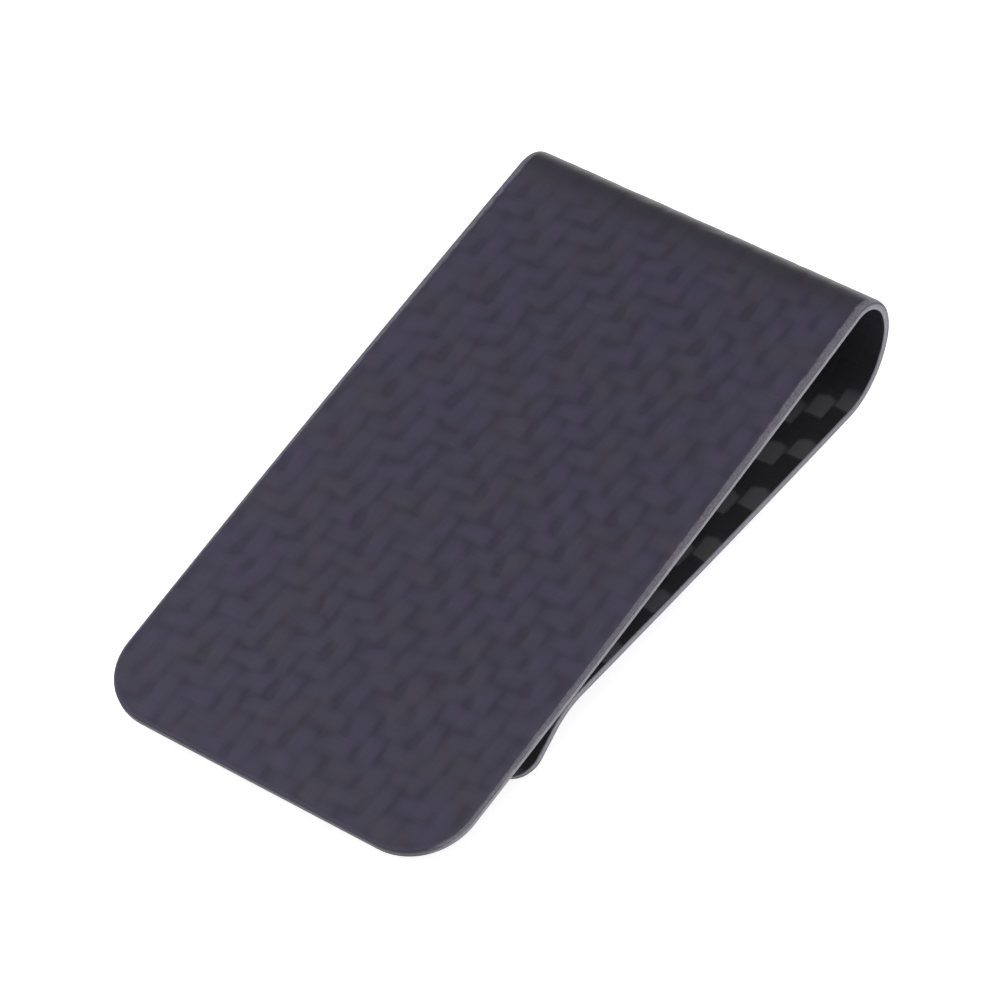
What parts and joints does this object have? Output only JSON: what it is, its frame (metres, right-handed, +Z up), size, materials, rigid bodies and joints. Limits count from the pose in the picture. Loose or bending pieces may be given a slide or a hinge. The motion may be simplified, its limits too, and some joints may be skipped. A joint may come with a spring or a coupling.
{
  "type": "money clip",
  "caption": "Flat spring money clip bent from one strip of woven carbon laminate, with a wide front plate, a rounded bend, a back arm and a flared lip.",
  "frame": {"origin": "bottom centre of the bounding box, on the table the clip lies on", "axes": "+X from the free end of the front plate to the bend, +Y across the clip, +Z up, with the front plate on top"},
  "size_m": [0.0684, 0.038, 0.0107],
  "materials": {
    "outer_twill": "satin clear coat over 2x2 carbon twill",
    "outer_core": "cut edge of cured carbon ply",
    "inner_core": "cut edge of cured carbon ply",
    "inner_twill": "glossy resin over 2x2 carbon twill"
  },
  "bodies": {
    "front_plate": {"outer_twill_front": "outer_twill", "outer_core_front": "outer_core", "inner_core_front": "inner_core", "inner_twill_front": "inner_twill"},
    "back_arm": {"outer_twill_back": "outer_twill", "outer_core_back": "outer_core", "inner_core_back": "inner_core", "inner_twill_back": "inner_twill"}
  },
  "joints": [
    {"name": "bend_flex", "type": "hinge", "parent": "back_arm", "child": "front_plate", "pos_m": [0.03419, 0, 0.00753], "axis": [0, 1, 0], "range_deg": [0, 8], "stiffness_Nm_per_rad": 3, "springref_deg": -1}
  ]
}
